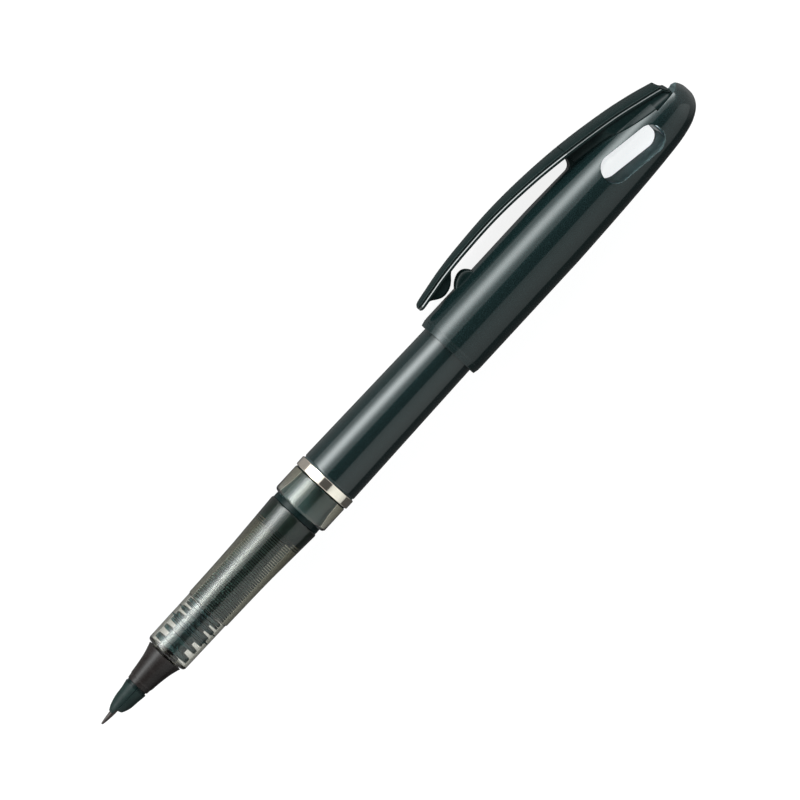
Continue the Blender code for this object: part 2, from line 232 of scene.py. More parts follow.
# ---- materials ----
class Look:
    """A Principled material whose nodes measure in millimetres on the piece."""

    def __init__(self, name, colour, roughness, **sockets):
        self.material = bpy.data.materials.new(name)
        self.material.use_nodes = True
        self.tree = self.material.node_tree
        self.shader = self.tree.nodes["Principled BSDF"]
        self.shader.inputs["Base Color"].default_value = (*colour, 1)
        self.shader.inputs["Roughness"].default_value = roughness
        for key, value in sockets.items():
            self.shader.inputs[key.replace("_", " ")].default_value = value
        self.coordinates = self.node("ShaderNodeTexCoord").outputs["Object"]

    def node(self, kind, **values):
        made = self.tree.nodes.new(kind)
        for key, value in values.items():
            setattr(made, key, value)
        return made

    def link(self, output, target):
        self.tree.links.new(output, target)

    def noise(self, scale, stretch=(1, 1, 1), detail=3.0, roughness=0.55):
        """Noise with that many features per millimetre."""
        mapping = self.node("ShaderNodeMapping")
        mapping.inputs["Scale"].default_value = [part / MM for part in stretch]
        self.link(self.coordinates, mapping.inputs["Vector"])
        made = self.node("ShaderNodeTexNoise")
        made.inputs["Scale"].default_value = scale
        made.inputs["Detail"].default_value = detail
        made.inputs["Roughness"].default_value = roughness
        self.link(mapping.outputs[0], made.inputs["Vector"])
        return made.outputs["Fac"]

    def cells(self, scale):
        """Random colours in cells, that many per millimetre."""
        made = self.node("ShaderNodeTexVoronoi")
        made.inputs["Scale"].default_value = scale / MM
        self.link(self.coordinates, made.inputs["Vector"])
        return made.outputs["Color"]

    def fit(self, factor, low, high, start=0.3, end=0.7):
        made = self.node("ShaderNodeMapRange")
        for key, value in (("From Min", start), ("From Max", end), ("To Min", low), ("To Max", high)):
            made.inputs[key].default_value = value
        self.link(factor, made.inputs["Value"])
        return made.outputs["Result"]

    def tint(self, factor, first, second):
        """Base colour between two colours."""
        made = self.node("ShaderNodeMix", data_type="RGBA")
        made.inputs["A"].default_value = (*first, 1)
        made.inputs["B"].default_value = (*second, 1)
        self.link(factor, made.inputs["Factor"])
        colour = [o for o in made.outputs if o.type == "RGBA"][0]
        self.link(colour, self.shader.inputs["Base Color"])

    def gloss(self, factor, low, high):
        self.link(self.fit(factor, low, high), self.shader.inputs["Roughness"])

    def bump(self, height, strength, depth, onto=("Normal",)):
        """Relief of that depth in millimetres."""
        made = self.node("ShaderNodeBump")
        made.inputs["Strength"].default_value = strength
        made.inputs["Distance"].default_value = depth * MM
        self.link(height, made.inputs["Height"])
        for socket in onto:
            self.link(made.outputs["Normal"], self.shader.inputs[socket])


def moulded(name, dark, light, roughness, grain=6.0, relief=0.002, **sockets):
    """Injection-moulded plastic: a faint cloudiness, a fine grain and uneven gloss."""
    look = Look(name, dark, roughness, **sockets)
    look.tint(look.fit(look.noise(0.5), 0, 1), dark, light)
    look.gloss(look.noise(1.6, detail=5), roughness - 0.05, roughness + 0.06)
    look.bump(look.noise(grain, detail=2), 0.5, relief)
    return look.material


def pearl_paint(name, coat):
    """Dark green-grey lacquer with fine pearl flakes under a clear coat."""
    look = Look(
        name,
        (0.005, 0.011, 0.011),
        0.42,
        Metallic=0.4,
        Specular_IOR_Level=0.0,
        Coat_Weight=coat,
        Coat_Roughness=0.1,
    )
    cells = look.cells(6.5)
    apart = look.node("ShaderNodeSeparateColor")
    look.link(cells, apart.inputs[0])
    look.tint(look.fit(apart.outputs[0], 0, 1, 0.55, 1.0), (0.0042, 0.0108, 0.0108), (0.0072, 0.0158, 0.0166))
    tipped = look.node("ShaderNodeVectorMath", operation="MULTIPLY_ADD")
    look.link(cells, tipped.inputs[0])
    tipped.inputs[1].default_value = (0.12, 0.12, 0.12)
    tipped.inputs[2].default_value = (-0.06, -0.06, -0.06)
    added = look.node("ShaderNodeVectorMath", operation="ADD")
    look.link(tipped.outputs[0], added.inputs[0])
    look.link(look.node("ShaderNodeNewGeometry").outputs["Normal"], added.inputs[1])
    whole = look.node("ShaderNodeVectorMath", operation="NORMALIZE")
    look.link(added.outputs[0], whole.inputs[0])
    look.link(whole.outputs[0], look.shader.inputs["Normal"])
    look.link(look.fit(look.noise(1.2, detail=4), 0.08, 0.13), look.shader.inputs["Coat Roughness"])
    return look.material


def see_through(name, per_metre, roughness, ior=1.49):
    """Clear plastic that takes up light along its thickness, with faint flow marks from moulding."""
    look = Look(name, (1, 1, 1), roughness, Transmission_Weight=1.0, IOR=ior)
    density = max(per_metre)
    soak = look.node("ShaderNodeVolumeAbsorption")
    soak.inputs["Color"].default_value = (*[1 - part / density for part in per_metre], 1)
    soak.inputs["Density"].default_value = density
    output = [n for n in look.tree.nodes if n.type == "OUTPUT_MATERIAL"][0]
    look.link(soak.outputs[0], output.inputs["Volume"])
    look.gloss(look.noise(1.0, detail=4), roughness, roughness + 0.03)
    look.bump(look.noise(0.35, (0.25, 1, 1), detail=2), 0.25, 0.01)
    return look.material


def polished_metal():
    """Plated ring, polished on a lathe: hair-fine marks run round it."""
    look = Look("champagne_metal", (0.88, 0.81, 0.71), 0.1, Metallic=1.0)
    marks = look.noise(4.0, (6, 0.15, 0.15), detail=4)
    look.tint(look.fit(look.noise(0.8), 0, 1), (0.91, 0.84, 0.74), (0.85, 0.78, 0.67))
    look.gloss(marks, 0.07, 0.15)
    look.bump(marks, 0.3, 0.003)
    return look.material


def nib_fibre():
    """Brown-black moulded nib with ink drawn along it."""
    look = Look("nib_plastic", (0.02, 0.012, 0.01), 0.42, Specular_IOR_Level=0.35)
    along = look.noise(2.2, (0.3, 3, 3), detail=4)
    look.tint(look.fit(along, 0, 1), (0.006, 0.0045, 0.0045), (0.024, 0.015, 0.0135))
    look.gloss(look.noise(4.0), 0.35, 0.5)
    look.bump(along, 0.6, 0.012)
    return look.material


def ink_fibre():
    """Dark felted strands that run along the rod."""
    look = Look("ink_fibre", (0.02, 0.02, 0.024), 0.95)
    strands = look.noise(3.0, (0.15, 4, 4), detail=5)
    look.tint(look.fit(strands, 0, 1), (0.01, 0.01, 0.013), (0.06, 0.06, 0.07))
    look.bump(strands, 1.0, 0.03)
    return look.material


PAINT = pearl_paint("pearl_paint", 1.0)
CAP_PAINT = pearl_paint("cap_paint", 0.76)
DULL = {"Specular_IOR_Level": 0.25}
INSIDE = moulded("inside_plastic", (0.012, 0.024, 0.026), (0.02, 0.036, 0.038), 0.4, **DULL)
# the bore seen through the window is painted light blue-grey, standing in for light scattered in through the
# clear sleeve
LIT_CAP_BORE = moulded("cap_bore_painted_light", (0.22, 0.32, 0.335), (0.28, 0.4, 0.42), 0.5, **DULL)
CAP_CUT = moulded("cap_cut", (0.025, 0.042, 0.044), (0.035, 0.058, 0.06), 0.4, **DULL)
JET = ((0.002, 0.0062, 0.0062), (0.0034, 0.0085, 0.0082))
BLACK = moulded("black_plastic", *JET, 0.25, Specular_IOR_Level=0.12)
CLIP_BEAD = moulded("clip_bead", *JET, 0.16, Specular_IOR_Level=0.9)
HEEL_BEAD = moulded("heel_bead", *JET, 0.2, Specular_IOR_Level=0.4)
HOLDER_TONES = ((0.005, 0.0112, 0.0106), (0.0092, 0.0168, 0.0156))
HOLDER = moulded("holder_plastic", *HOLDER_TONES, 0.4, relief=0.004, Specular_IOR_Level=0.1)
CONE = moulded("cone_plastic", (0.0075, 0.006, 0.0057), (0.012, 0.01, 0.0095), 0.27, Specular_IOR_Level=0.16)
COMB = moulded("comb_plastic", (0.017, 0.05, 0.054), (0.03, 0.075, 0.08), 0.42, Specular_IOR_Level=0.4)
# fin rims painted lighter than the comb itself: a painted highlight
LIT_COMB_RIM = moulded("comb_rim_painted_light", (0.047, 0.092, 0.094), (0.06, 0.114, 0.117), 0.42, Specular_IOR_Level=0.4)
SMOKE = see_through("smoke_plastic", (480, 485, 575), 0.02)
COLLAR_SMOKE = see_through("collar_smoke", (250, 258, 320), 0.02)
CLEAR = see_through("clear_plastic", (35, 14, 6), 0.02, ior=1.22)
METAL = polished_metal()
NIB = nib_fibre()
INK = ink_fibre()


# ---- nib, holder and cone ----
NIB_RADIUS, NIB_TAIL, FINE_GAP = 0.57, 22.0, 0.13
HOLDER_SPLIT, GROOVE_SHADE_FRONT = math.radians(1.4), 9.2
UPPER_JAW = [(2.9, 0.78), (3.9, 1.29), (5.8, 1.8), (7.7, 2.0), (9.55, 2.34), (9.6, 2.2)]
LOWER_JAW = [(3.95, 0.8), (4.25, 1.35), (5.8, 2.0), (7.7, 2.25), (9.55, 2.5), (9.6, 2.35)]


def build_nib():
    """The nib: a fine rounded point that widens into a rod."""
    tip = [(0.0, 0.06), (0.06, 0.13), (0.25, 0.22), (1.05, 0.36), (2.0, 0.47), (2.95, 0.545)]
    tip = flowing(tip + [(4.2, NIB_RADIUS)], 4)
    line = [Vector((0, 0))] + tip + [Vector((NIB_TAIL, NIB_RADIUS)), Vector((NIB_TAIL, 0))]
    turned("nib_point", line, NIB, "section", ("nib",), sides=COARSE, soft=0)


def build_holder(name, top, start, node):
    """Half of the holder, split along the middle. The groove at its back is painted black, as shade in the
    recess.
    """
    channel, tail_radius, tail_end = NIB_RADIUS + FINE_GAP, 1.75, 16.0
    front = flowing(top[:-1], 6)
    neck = [top[-2], top[-1], (9.62, 2.2), (9.97, 2.2), (9.98, tail_radius), (10.3, tail_radius)]
    line = [Vector((top[0][0], channel))] + front + softened(neck, False, 0.04)[1:]
    line += [Vector((tail_end, tail_radius)), Vector((tail_end, channel))]
    # faces behind this station take black: painted shade in the groove
    groove_shade = [int(s > GROOVE_SHADE_FRONT) for s, _ in line]
    start, sweep = start + HOLDER_SPLIT, math.pi - 2 * HOLDER_SPLIT
    bm = turned_mesh(line, COARSE, True, start, sweep, groove_shade.__getitem__)
    add_piece(name, bm, [HOLDER, BLACK], "section", (node,))


def build_cone():
    """The flared cone between the holder and the grip."""
    front = [(10.0, 1.9), (10.0, 2.3), (10.1, 2.42), (10.9, 2.48), (11.2, 2.62)]
    flare = flowing([(11.2, 2.62), (13.2, 2.85), (15.3, 3.2), (17.2, 3.72), (17.7, 3.9)], 6)
    tail = [(17.7, 2.4), (19.0, 2.4), (19.0, 1.4), (16.3, 1.4), (16.3, 1.9)]
    line = front[:-1] + [tuple(p) for p in flare] + tail
    turned("cone", line, CONE, "section", ("front_cone",), sides=MEDIUM, soft=0.07)


# ---- the see-through grip and what is in it ----
GRIP_FRONT, GRIP_STEP, GRIP_END, SHELL_BORE, FRONT_BORE = 18.0, 29.7, 54.0, 3.95, 4.08
COMB_FRONT, COMB_END, CORE_BORE = 19.3, 48.86, 1.1


def build_grip():
    """The see-through shell, with a small step outside and a wider bore in front of it."""
    nose = [(GRIP_FRONT, 4.05), (18.12, 4.35), (18.5, 4.58), (GRIP_STEP, 4.64)]
    flare = [(GRIP_STEP + 0.15, 4.82), (36.2, 4.9), (41.9, 5.03), (45.7, 5.2), (49.5, 5.37)]
    flare = flowing(flare + [(53.75, 5.58)], 6)
    end = [(GRIP_END, 5.45), (GRIP_END, SHELL_BORE), (GRIP_STEP, SHELL_BORE), (GRIP_STEP - 0.1, FRONT_BORE)]
    end += [(18.7, FRONT_BORE), (18.7, 2.7), (GRIP_FRONT, 2.7)]
    line = nose + [tuple(p) for p in flare] + end
    turned("grip", line, SMOKE, "section", ("grip_shell",), soft=0.1)


def discs_on(core, discs, end):
    """The outline of a bored core, (front, radius), with discs on it, (front, back, radius)."""
    line = [(core[0], CORE_BORE), (core[0], core[1])]
    for low, high, radius in discs:
        line += [(low, core[1]), (low, radius), (high, radius), (high, core[1])]
    return line + [(end, core[1]), (end, CORE_BORE)]


def build_collector():
    """Wide discs at the front, a comb of fins, the collector's base, and the rod through them."""
    disc, seal = 3.94, 4.4
    wide = [(19.35, 20.4, disc), (21.75, 22.5, disc), (23.65, 24.1, disc), (24.25, 24.6, disc)]
    wide += [(24.68, 24.92, seal), (25.0, 25.75, disc), (26.5, 26.75, disc), (26.8, 27.0, seal)]
    wide += [(27.05, 27.3, disc), (28.0, 28.35, disc), (28.6, 29.2, disc)]
    line = discs_on((COMB_FRONT, 2.35), wide, 29.6)
    turned("buffer", line, COMB, "section", ("buffer_discs",), sides=MEDIUM, soft=0.03)
    first, fins_made, thick, radius = 29.95, 38, 0.28, 3.86
    pitch = (COMB_END - first) / fins_made
    fins = [(first + i * pitch, first + i * pitch + thick, radius) for i in range(fins_made)]
    line = discs_on((29.65, 2.5), fins, COMB_END)
    turned(
        "comb",
        line,
        [LIT_COMB_RIM, BLACK],
        "section",
        ("fin_comb",),
        sides=72,
        soft=0,
        # faces down between the fins take black as painted shade; the rims take the painted highlight
        inner=lambda s, r: r < radius - 0.06,
    )
    line = [(48.88, CORE_BORE), (48.88, 4.1), (49.1, 4.1), (49.1, 3.6), (49.35, 3.6), (49.35, 4.1)]
    line += [(49.6, 4.1), (49.6, 3.6), (49.85, 3.6), (49.85, 4.02), (GRIP_END, 4.02), (GRIP_END, CORE_BORE)]
    turned("comb_base", line, COMB, "section", ("collector_base",), sides=MEDIUM, soft=0.05)
    rod = [(22.3, 0), (22.3, 0.8), (76.0, 0.8), (76.0, 0)]
    turned("feed", rod, INK, "section", ("feed_rod",), sides=32, soft=0.05)


# ---- the joint between grip and barrel ----
PITCH, TURNS, THREAD_START = 1.5, 3, 65.6


def build_coupling():
    """The dark threaded body that joins the grip to the barrel."""
    line = [(54.05, CORE_BORE), (54.05, 5.32), (54.2, 5.38), (55.0, 5.38), (55.2, 5.32), (58.4, 4.75)]
    line += [(61.24, 4.55), (61.24, 6.04), (61.45, 6.04), (61.45, 4.4), (64.6, 4.4), (64.8, 4.45)]
    line += [(71.6, 4.45), (71.6, 2.2), (77.5, 2.0), (78.0, 1.7), (78.0, CORE_BORE)]
    turned(
        "coupling",
        line,
        [BLACK, COMB],
        "section",
        ("threaded_body",),
        soft=0.06,
        inner=lambda s, r: 55.1 < s < 61.2,
    )
    add_piece(
        "coupling_thread",
        helix_mesh(4.45, 4.98, THREAD_START, PITCH, TURNS),
        BLACK,
        "section",
    )


def build_collar_and_ring():
    """The see-through collar and the polished ring behind it."""
    collar = [(55.25, 5.55), (55.37, 5.9), (55.75, 6.2), (61.2, 6.2), (61.2, 4.7), (58.4, 4.88)]
    collar.append((55.25, 5.42))
    turned("collar", collar, COLLAR_SMOKE, "section", ("ink_collar",), soft=0.1)
    ring = [(61.47, 6.25), (61.6, 6.42), (63.4, 6.42), (63.52, 6.25), (63.52, 4.75), (61.47, 4.75)]
    turned("ring_band", ring, METAL, "ring", ("trim_ring",), soft=0.08)


# ---- barrel and ink ----
def build_barrel():
    """The barrel tube, the thread in its mouth and the stopper in its tail."""
    line = [(63.54, 5.25), (63.54, 6.04), (63.78, 6.04), (63.82, 6.12), (64.0, 6.2), (129.9, 5.35)]
    line += [(130.2, 5.15), (130.2, 4.5), (73.5, 4.95), (73.2, 5.25)]
    turned(
        "barrel_tube",
        line,
        [PAINT, INSIDE],
        "barrel",
        ("barrel",),
        soft=0.1,
        inner=lambda s, r: r < 5.3 - (s - 60) * 0.006 or s < 63.79,
    )
    add_piece(
        "barrel_thread",
        helix_mesh(5.25, 4.68, THREAD_START + PITCH / 2, PITCH, TURNS),
        INSIDE,
        "barrel",
    )
    plug = [(129.0, 0), (129.0, 3.3), (126.5, 3.3), (126.5, 4.2), (130.5, 4.2), (130.5, 5.1), (130.65, 5.0)]
    plug.append((130.8, 0))
    turned("tail_stopper", plug, BLACK, "barrel", ("tail_plug",), sides=MEDIUM, soft=0.06)


def build_reservoir():
    """The ink tube and its stopper, inside the barrel."""
    tube = [(72.5, 2.5), (72.5, 3.6), (73.1, 4.1), (118.0, 4.1), (118.0, 3.5), (73.9, 3.5), (73.5, 2.5)]
    turned("ink_tube", tube, CLEAR, "section", ("ink_reservoir",), sides=MEDIUM, soft=0.1)
    plug = [(114.5, 0), (114.5, 3.2), (118.3, 3.2), (118.3, 4.1), (119.8, 3.9), (119.8, 0)]
    stands_for = ("reservoir_plug",)
    turned("ink_stopper", plug, BLACK, "section", stands_for, sides=MEDIUM, soft=0.08)


# ---- cap ----
CAP_MOUTH, CAP_RADIUS = 96.9, 6.97
SLOT_CENTRE, SLOT_HEIGHT, SLOT_TILT = 147.7, 0.3, math.radians(-8.6)
SLOT_LENGTH, SLOT_WIDTH = 14.4, 5.7
RECESS_FRONT, RECESS_FLOOR = 156.8, 2.3


def cap_line():
    """The cap's outer outline from the back of its lip to its end."""
    points = [(CAP_MOUTH + 1.3, CAP_RADIUS), (112.0, CAP_RADIUS), (125.5, CAP_RADIUS), (131.2, 6.86)]
    points += [(136.9, 6.71), (142.6, 6.52), (148.3, 6.28), (152.1, 6.05), (155.9, 5.74), (157.8, 5.45)]
    points.append((159.7, 5.03))
    points += [(161.2, 4.45), (162.4, 3.75), (163.3, 2.9), (163.85, 2.0), (LENGTH, 1.3)]
    return flowing(points, 5, CAP_RADIUS)


def cap_radius(s):
    """The cap's outer radius at a station."""
    line = cap_line()
    for (x0, r0), (x1, r1) in zip(line, line[1:]):
        if x0 <= s <= x1:
            return r0 + (r1 - r0) * (s - x0) / (x1 - x0)
    return line[-1][1]


def cutter(outline, half_width):
    """A block of that side outline, to cut from the cap."""
    sides = [[place(s, h, side) for s, h in outline] for side in (-half_width, half_width)]
    bm = lofted_mesh(sides)
    bmesh.ops.recalc_face_normals(bm, faces=bm.faces)
    mesh = bpy.data.meshes.new("cutter")
    bm.to_mesh(mesh)
    bm.free()
    mesh.materials.append(CAP_CUT)
    thing = bpy.data.objects.new("cutter", mesh)
    bpy.context.scene.collection.objects.link(thing)
    return thing


def slot_outline():
    """The window's rounded outline, tilted against the pen's axis."""
    half, radius = (SLOT_LENGTH - SLOT_WIDTH) / 2, SLOT_WIDTH / 2
    outline = []
    for centre, first in ((half, -math.pi / 2), (-half, math.pi / 2)):
        for i in range(33):
            angle = first + math.pi * i / 32
            along, across = centre + radius * math.cos(angle), radius * math.sin(angle)
            s = SLOT_CENTRE + along * math.cos(SLOT_TILT) - across * math.sin(SLOT_TILT)
            h = SLOT_HEIGHT + along * math.sin(SLOT_TILT) + across * math.cos(SLOT_TILT)
            outline.append((s, h))
    return outline


def carve(thing, cutters, bevel):
    """Cuts the pieces away and rounds the edges that leaves."""
    for other in cutters:
        step = thing.modifiers.new("cut", "BOOLEAN")
        step.operation = "DIFFERENCE"
        step.object = other
        step.material_mode = "TRANSFER"
    rounding = thing.modifiers.new("edge", "BEVEL")
    rounding.width = bevel * MM
    rounding.segments = 3
    rounding.limit_method = "ANGLE"
    rounding.angle_limit = math.radians(50)
    rounding.harden_normals = False
    bpy.context.view_layer.update()
    graph = bpy.context.evaluated_depsgraph_get()
    mesh = bpy.data.meshes.new_from_object(thing.evaluated_get(graph), depsgraph=graph)
    thing.modifiers.clear()
    thing.data = mesh
    mesh.shade_smooth()
    mesh.set_sharp_from_angle(angle=math.radians(40))
    for other in cutters:
        bpy.data.objects.remove(other)


def build_cap():
    """The cap, with its lip, bore, window and the recess for the clip."""
    bore = [(156.3, 0), (156.3, 4.6), (155.6, 4.95), (143.0, 5.67), (130.0, 5.9), (CAP_MOUTH, 5.95)]
    bore = softened(bore, False, 0.15)
    lip = [(CAP_MOUTH, 5.95), (CAP_MOUTH, 6.7), (98.1, CAP_RADIUS), (98.18, 6.93), (98.3, 6.93)]
    lip = softened(lip + [(98.38, CAP_RADIUS), (103.0, CAP_RADIUS)], False, 0.1)
    outer = cap_line()
    line = bore + lip[1:-1] + [p for p in outer if p[0] > 98.9] + [Vector((LENGTH, 0))]

    def index_of(i):
        if i >= len(bore) - 1:
            return 0
        # past station 131 the bore takes the painted-light material
        return 1 if line[i][0] > 131 else 2

    bm = turned_mesh(line, 192, False, index_of=index_of)
    cap = add_piece("cap_body", bm, [CAP_PAINT, LIT_CAP_BORE, CAP_CUT], "cap", ("cap_shell",))
    recess = [(RECESS_FRONT, RECESS_FLOOR), (162.3, RECESS_FLOOR), (162.7, 2.6), (165.1, 2.6)]
    recess += [(165.1, 9.0), (RECESS_FRONT, 9.0)]
    carve(cap, [cutter(slot_outline(), 9.0), cutter(recess, 8.0)], 0.1)


def build_cap_nub():
    """The low bump under the clip that pinches cloth against the clip's own bump."""
    low, high, crest, peak, half = 105.9, 111.2, 109.0, 8.6, 1.25
    rings = []
    for s in stations(low, high, 41):
        t = (s - crest) / (crest - low if s < crest else high - crest)
        top = 6.5 + (peak - 6.5) * max(1 - abs(t) ** (1.8 if t < 0 else 2.4), 0.0) ** 0.75
        ring = []
        for i in range(25):
            angle = math.pi * i / 24
            across = math.copysign(abs(math.cos(angle)) ** 0.8, math.cos(angle)) * half
            ring.append(place(s, 6.3 + (top - 6.3) * math.sin(angle) ** 0.7, across))
        rings.append(ring)
    add_piece("cap_bump", lofted_mesh(rings), BLACK, "cap")


def build_inner_cap():
    """The clear sleeve that closes over the nib."""
    line = [(154.5, 0), (154.5, 4.0), (143.0, 4.72), (131.4, 4.78), (131.0, 4.95), (131.0, 5.25)]
    line += [(131.3, 5.4), (143.0, 5.32), (154.7, 4.6), (155.2, 4.2), (155.2, 0)]
    turned("cap_sleeve", line, CLEAR, "cap", ("inner_cap",), soft=0.25)


# ---- clip ----
CLIP_TIP, CLIP_BEND, PLATE_END, CLIP_REAR = 98.7, 139.2, 160.4, 161.4
CLIP_EDGE, CROWN_SHARE, SEAM = 1.2, 0.217, 0.005
HINGE_HEIGHT, HINGE_SWING = 9.3, math.radians(4.6)
BUMP_MIDDLE, BUMP_REACH, BUMP_DEPTH = 104.7, 3.7, 2.05
EDGE_HEIGHT = [(98.7, 9.95), (102.7, 10.54), (106.5, 11.07), (112.2, 11.5), (121.7, 11.69)]
EDGE_HEIGHT += [(131.2, 11.08), (140.7, 9.79), (150.2, 7.95), (155.9, 6.44), (160.6, 5.0)]
HALF_WIDTH = [(98.7, 1.75), (106.5, 2.15), (121.7, 2.85), (131.2, 3.45), (140.7, 4.15)]
HALF_WIDTH += [(150.2, 4.25), (156.0, 4.3), (160.6, 3.9)]
FOOT_ANGLE = [(138.6, 14), (142.6, 22), (146.4, 31), (150.2, 46), (154.0, 56), (156.9, 61), (161.4, 63)]

CLIP_SHARP = 60
BEAD_STRIP = range(19, 22)  # the lower bead's upper faces, counted round plate_side()


def plate_side(half, edge, thick):
    """One side of the plate, from the middle of its crowned top down past two beads with a groove between."""
    rise = CROWN_SHARE * half
    flat = half - 0.16
    points = [(flat * k / 10, edge + rise * (1 - (k / 10 * flat / half) ** 2)) for k in range(11)]
    bead = 0.14
    for k in range(1, 6):
        angle = math.pi / 2 * k / 5
        points.append((flat + 0.16 * math.sin(angle), edge + 0.01 - bead * (1 - math.cos(angle))))
    groove = [(0.0, 0.2), (0.1, 0.27), (0.17, 0.38), (0.17, 0.5), (0.12, 0.6), (0.03, 0.68), (0.01, 0.78)]
    groove += [(0.01, 1.0), (0.05, 1.1)]
    points += [(half - inset, edge - drop * thick / CLIP_EDGE) for inset, drop in groove]
    return points


def clip_tip_share(s):
    """How much of its full width the clip has at a station near its rounded tip."""
    t = min((s - CLIP_TIP) / 1.5, 1)
    return max(math.sqrt(max(1 - (1 - t) ** 2, 0)), 0.3)


def bump_depth(s):
    """How far the bump under the clip's tip reaches down."""
    t = min(abs(s - BUMP_MIDDLE) / BUMP_REACH, 1)
    return BUMP_DEPTH * (1 - t**2.4) ** 1.6


def build_clip_arm():
    """The springy blade of the clip, with its rounded tip and bump."""
    rings = []
    tip = [CLIP_TIP + 1.5 * (1 - math.cos(math.pi / 2 * k / 12)) for k in range(12)]
    for s in tip + stations(CLIP_TIP + 1.5, CLIP_BEND - SEAM, 110):
        half = between(HALF_WIDTH, s) * clip_tip_share(s)
        edge = between(EDGE_HEIGHT, s)
        slim = 0.25 * (1 - min((s - CLIP_TIP) / 0.6, 1)) ** 2
        side = [(z, h - slim) for z, h in plate_side(half, edge, CLIP_EDGE - 2 * slim)]
        low = edge - CLIP_EDGE + slim
        depth = bump_depth(s)
        wide = max(half - 0.4, 0.1)
        side += [(half - 0.16, low), (wide, low - 0.02 - depth * 0.1), (wide - 0.06, low - depth * 0.72)]
        side += [(wide * 0.8, low - depth * 0.95), (wide * 0.5, low - depth), (0.0, low - depth)]
        ring = side + [(-z, h) for z, h in reversed(side[1:-1])]
        rings.append([place(s, h, z) for z, h in ring])
    relief = math.tan(HINGE_SWING)
    rings[-1] = [place(s - relief * max(h - HINGE_HEIGHT, 0), h, z) for z, h in ring]
    bm = lofted_mesh(rings, BEAD_STRIP)
    add_piece("clip_blade", bm, [BLACK, CLIP_BEAD], "clip", ("clip_arm",), CLIP_SHARP)


def root_ring(s, half, side, lowest, seated):
    """One cross-section of the root: plate, hollow flank, foot and underside."""
    radius = cap_radius(s) + ROOT_CLEARANCE
    angle = math.radians(between(FOOT_ANGLE, s))
    foot_side, foot_height = radius * math.sin(angle), radius * math.cos(angle)
    if seated:
        foot_height = max(foot_height, RECESS_FLOOR + 0.1)
        foot_side = math.sqrt(max(cap_radius(s) ** 2 - foot_height**2, 1.0))
    waist = min(half - 0.3, foot_side + 0.2)
    lip = 0.12
    flank = [(half - 0.14, lowest), (waist, lowest - 0.05)]
    steep = 5.5 - 3.3 * min(max((s - 151.5) / 6.0, 0), 1)
    for k in range(1, 21):
        t = k / 21
        z = waist + (foot_side - waist) * t**steep
        h = lowest - 0.05 + (foot_height + lip - lowest + 0.05) * (1 - (1 - t) ** 1.25)
        keep_out = math.sqrt(max((radius + 0.05) ** 2 - z**2, 0.0))
        flank.append((z, max(h, keep_out) if not seated else h))
    flank.append((foot_side + 0.02, foot_height + lip))
    under = []
    for k in range(9):
        t = 1 - k / 8
        if seated:
            under.append((foot_side * t, RECESS_FLOOR + 0.1))
        else:
            under.append((radius * math.sin(angle * t), radius * math.cos(angle * t)))
    right = side + flank + under
    left = [(-z, h) for z, h in reversed(right[1:-1])]
    return [place(s, h, z) for z, h in right + left]


def build_clip_toe():
    """The web's front edge, which runs down to the cap in a hollow curve."""
    low, full, high, half = 137.2, 138.7, CLIP_BEND + 0.2, 1.7
    foot = cap_radius(CLIP_BEND) - 0.15
    top = between(EDGE_HEIGHT, CLIP_BEND) - CLIP_EDGE - 0.1
    rings = []
    for s in stations(low, high, 17):
        t = min((s - low) / (full - low), 1)
        h = foot + 0.1 + (top - foot - 0.1) * (1 - math.sqrt(max(1 - t * t, 0)))
        ring = [(half, foot), (half, h - 0.04), (half - 0.06, h), (0, h)]
        ring += [(0.06 - half, h), (-half, h - 0.04), (-half, foot)]
        rings.append([place(s, height, z) for z, height in ring])
    add_piece("clip_toe", lofted_mesh(rings), BLACK, "cap")


def build_clip_root():
    """The clip's wide end, on a web with hollow flanks, let into the cap."""
    rings = []
    seat_front = RECESS_FRONT + 0.1
    marks = [(s, False) for s in stations(CLIP_BEND + SEAM, seat_front, 60)]
    marks += [(s, True) for s in stations(seat_front + 0.03, PLATE_END, 16)]
    rounding = (0.02, 0.08, 0.18, 0.3, 0.45, 0.6, 0.75, 0.9, 1)
    marks += [(PLATE_END + (CLIP_REAR - PLATE_END) * t, True) for t in rounding]
    for s, seated in marks:
        half = between(HALF_WIDTH, s)
        edge = between(EDGE_HEIGHT, s)
        fall = max(0, (s - PLATE_END) / (CLIP_REAR - PLATE_END))
        sink = (edge - RECESS_FLOOR - 1.0) * (1 - (1 - fall) ** 1.8)
        thick = min(CLIP_EDGE, 0.25 * edge) * (1 - 0.7 * fall)
        side = [(z, h - sink) for z, h in plate_side(half, edge, thick)]
        rings.append(root_ring(s, half, side, edge - sink - thick, seated))
    bm = lofted_mesh(rings, BEAD_STRIP)
    add_piece("clip_heel", bm, [BLACK, HEEL_BEAD], "cap", ("clip_root",), CLIP_SHARP)


build_nib()
build_holder("holder_upper", UPPER_JAW, -math.pi / 2, "nib_jaw_upper")
build_holder("holder_lower", LOWER_JAW, math.pi / 2, "nib_jaw_lower")
build_cone()
build_grip()
build_collector()
build_coupling()
build_collar_and_ring()
build_barrel()
build_reservoir()
build_cap()
build_cap_nub()
build_inner_cap()
build_clip_arm()
build_clip_toe()
build_clip_root()


# ---- camera, light and floor ----
VIEW_LEAN = REST_TILT + math.radians(11)  # from the clip's direction, about the pen's axis
PEN_SLOPE = math.radians(47.3)  # of the pen's axis, up from the image's right
FIELD, DISTANCE = 0.152, 0.9
AIM_ALONG, AIM_ACROSS = 1.645 * MM, 0.105 * MM  # where the view is centred, off the pen's middle
FLOOR_GLOW, FLOOR_GLOW_IN_GLOSS = 0.86, 0.22
SKY_SEEN = 0.9
ACROSS = Vector((0, math.cos(VIEW_LEAN), -math.sin(VIEW_LEAN)))
ALONG = Vector((1, 0, 0))
TO_CAMERA = ALONG.cross(ACROSS)


